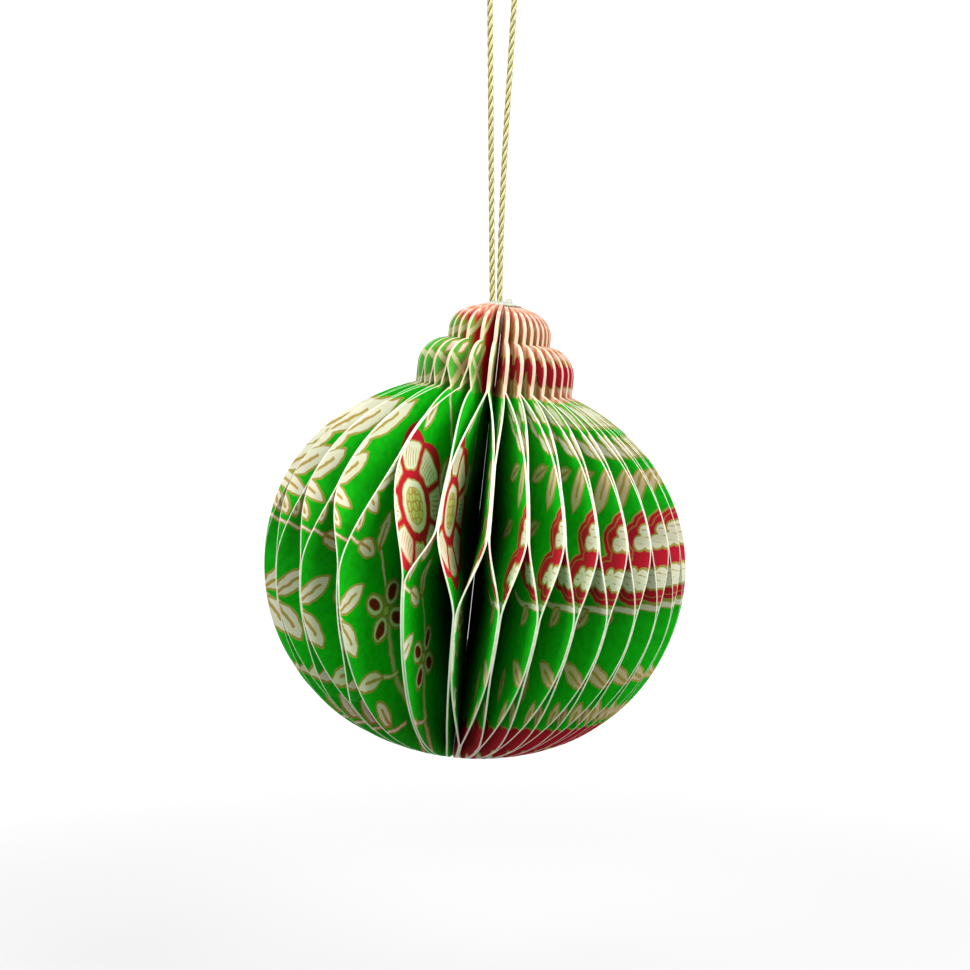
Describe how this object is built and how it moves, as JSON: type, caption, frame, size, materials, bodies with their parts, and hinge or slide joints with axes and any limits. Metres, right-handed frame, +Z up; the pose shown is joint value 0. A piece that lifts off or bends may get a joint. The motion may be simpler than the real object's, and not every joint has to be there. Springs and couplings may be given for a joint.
{
  "type": "honeycomb paper bauble",
  "caption": "Hanging paper bauble: a ball with a two-tier cap, fanned from die-cut paper leaves glued in staggered bands, on a loop of twisted cord.",
  "frame": {"origin": "inner top of the cord loop, where it bears on its hook", "axes": "+Z up as it hangs, -Y the front, +X the viewer's right; the bauble's own axis leans about 6 degrees towards +X"},
  "size_m": [0.0758, 0.0758, 0.1443],
  "materials": {
    "paper": "printed leaf-and-blossom bands on stout craft paper, white cut edges",
    "glue": "dried craft glue, translucent",
    "cord": "twisted pale gold metallic thread"
  },
  "bodies": {
    "root": {"leaf_01": "paper", "leaf_02": "paper", "leaf_03": "paper", "leaf_04": "paper", "leaf_05": "paper", "leaf_06": "paper", "leaf_07": "paper", "leaf_08": "paper", "leaf_09": "paper", "leaf_10": "paper", "leaf_11": "paper", "leaf_12": "paper", "leaf_13": "paper", "leaf_14": "paper", "leaf_15": "paper", "leaf_16": "paper", "leaf_17": "paper", "leaf_18": "paper", "leaf_19": "paper", "leaf_20": "paper", "leaf_21": "paper", "leaf_22": "paper", "leaf_23": "paper", "leaf_24": "paper", "leaf_25": "paper", "leaf_26": "paper", "leaf_27": "paper", "leaf_28": "paper", "leaf_29": "paper", "leaf_30": "paper", "leaf_31": "paper", "leaf_32": "paper", "leaf_33": "paper", "leaf_34": "paper", "leaf_35": "paper", "leaf_36": "paper", "leaf_37": "paper", "leaf_38": "paper", "leaf_39": "paper", "leaf_40": "paper", "leaf_41": "paper", "leaf_42": "paper", "leaf_43": "paper", "leaf_44": "paper", "leaf_45": "paper", "leaf_46": "paper", "leaf_47": "paper", "leaf_48": "paper", "leaf_49": "paper", "leaf_50": "paper", "leaf_51": "paper", "leaf_52": "paper", "leaf_53": "paper", "leaf_54": "paper", "leaf_55": "paper", "leaf_56": "paper", "glue_dab": "glue", "hanging_cord": "cord"}
  },
  "joints": []
}
